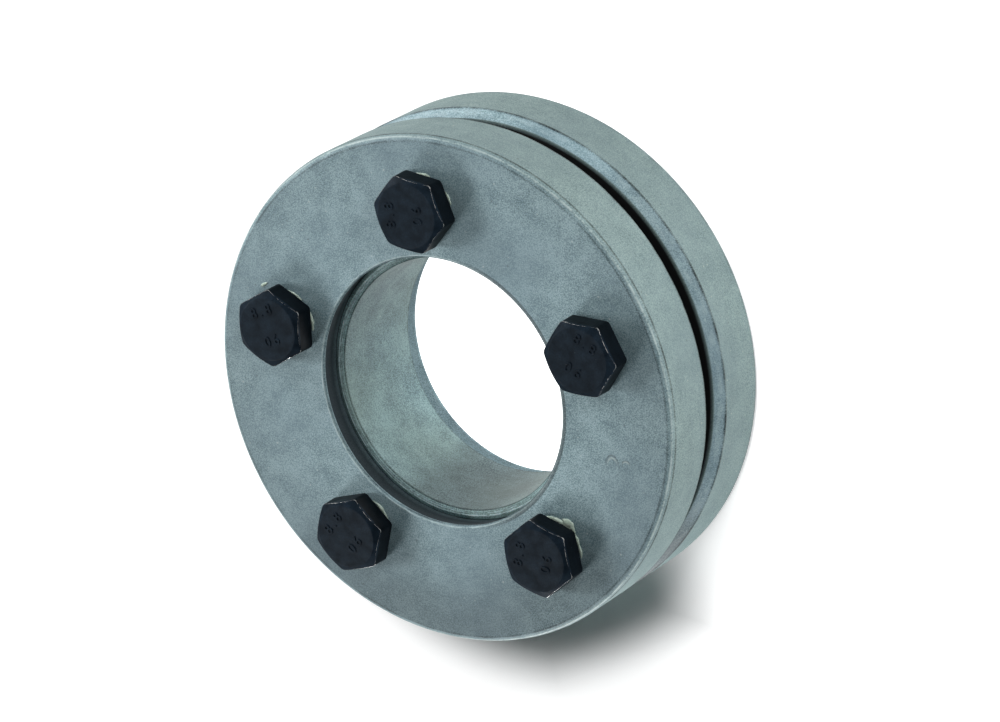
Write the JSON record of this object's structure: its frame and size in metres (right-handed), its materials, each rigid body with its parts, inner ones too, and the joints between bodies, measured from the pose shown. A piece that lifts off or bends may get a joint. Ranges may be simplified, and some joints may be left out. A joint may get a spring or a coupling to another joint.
{
  "type": "shrink disc clamping bushing",
  "caption": "Three-part shrink disc: hexagon screws draw two tapered thrust rings together over a double-tapered inner ring, which clamps a hub or hollow shaft.",
  "frame": {"origin": "centre of the bore axis in the rear thrust ring's flat face, on which the part stands", "axes": "+Z along the bore axis, from the rear face towards the screw heads; +Y through the first screw"},
  "size_m": [0.072, 0.072, 0.0275],
  "materials": {
    "thrust_ring_steel": "matt phosphated steel, blue-grey, with bright worn edges",
    "inner_ring_steel": "matt phosphated steel, blue-grey",
    "screw_black_oxide": "black oxide, with thin worn edges"
  },
  "bodies": {
    "rear_ring": {"rear_thrust_ring": "thrust_ring_steel"},
    "front_ring": {"front_thrust_ring": "thrust_ring_steel"},
    "inner_ring": {"inner_ring": "inner_ring_steel"},
    "clamping_screw_1": {"clamping_screw_1": "screw_black_oxide"},
    "clamping_screw_2": {"clamping_screw_2": "screw_black_oxide"},
    "clamping_screw_3": {"clamping_screw_3": "screw_black_oxide"},
    "clamping_screw_4": {"clamping_screw_4": "screw_black_oxide"},
    "clamping_screw_5": {"clamping_screw_5": "screw_black_oxide"}
  },
  "joints": [
    {"name": "screw_1_turn", "type": "hinge", "parent": "front_ring", "child": "clamping_screw_1", "pos_m": [0, 0.026, 0.0235], "axis": [0, 0, -1], "range_deg": [0, 432]},
    {"name": "screw_2_turn", "type": "hinge", "parent": "front_ring", "child": "clamping_screw_2", "pos_m": [-0.02473, 0.00803, 0.0235], "axis": [0, 0, -1], "range_deg": [0, 432]},
    {"name": "screw_3_turn", "type": "hinge", "parent": "front_ring", "child": "clamping_screw_3", "pos_m": [-0.01528, -0.02103, 0.0235], "axis": [0, 0, -1], "range_deg": [0, 432]},
    {"name": "screw_4_turn", "type": "hinge", "parent": "front_ring", "child": "clamping_screw_4", "pos_m": [0.01528, -0.02103, 0.0235], "axis": [0, 0, -1], "range_deg": [0, 432]},
    {"name": "screw_5_turn", "type": "hinge", "parent": "front_ring", "child": "clamping_screw_5", "pos_m": [0.02473, 0.00803, 0.0235], "axis": [0, 0, -1], "range_deg": [0, 432]},
    {"name": "front_ring_closing", "type": "slide", "parent": "rear_ring", "child": "front_ring", "axis": [0, 0, -1], "range_m": [0, 0.0012]},
    {"name": "inner_ring_centring", "type": "slide", "parent": "rear_ring", "child": "inner_ring", "axis": [0, 0, -1], "range_m": [0, 0.0006]}
  ],
  "couplings": [
    {"joint": "screw_1_turn", "follows": "front_ring_closing", "rad_per_m": 6283.2},
    {"joint": "screw_2_turn", "follows": "front_ring_closing", "rad_per_m": 6283.2},
    {"joint": "screw_3_turn", "follows": "front_ring_closing", "rad_per_m": 6283.2},
    {"joint": "screw_4_turn", "follows": "front_ring_closing", "rad_per_m": 6283.2},
    {"joint": "screw_5_turn", "follows": "front_ring_closing", "rad_per_m": 6283.2},
    {"joint": "inner_ring_centring", "follows": "front_ring_closing", "ratio": 0.5}
  ]
}
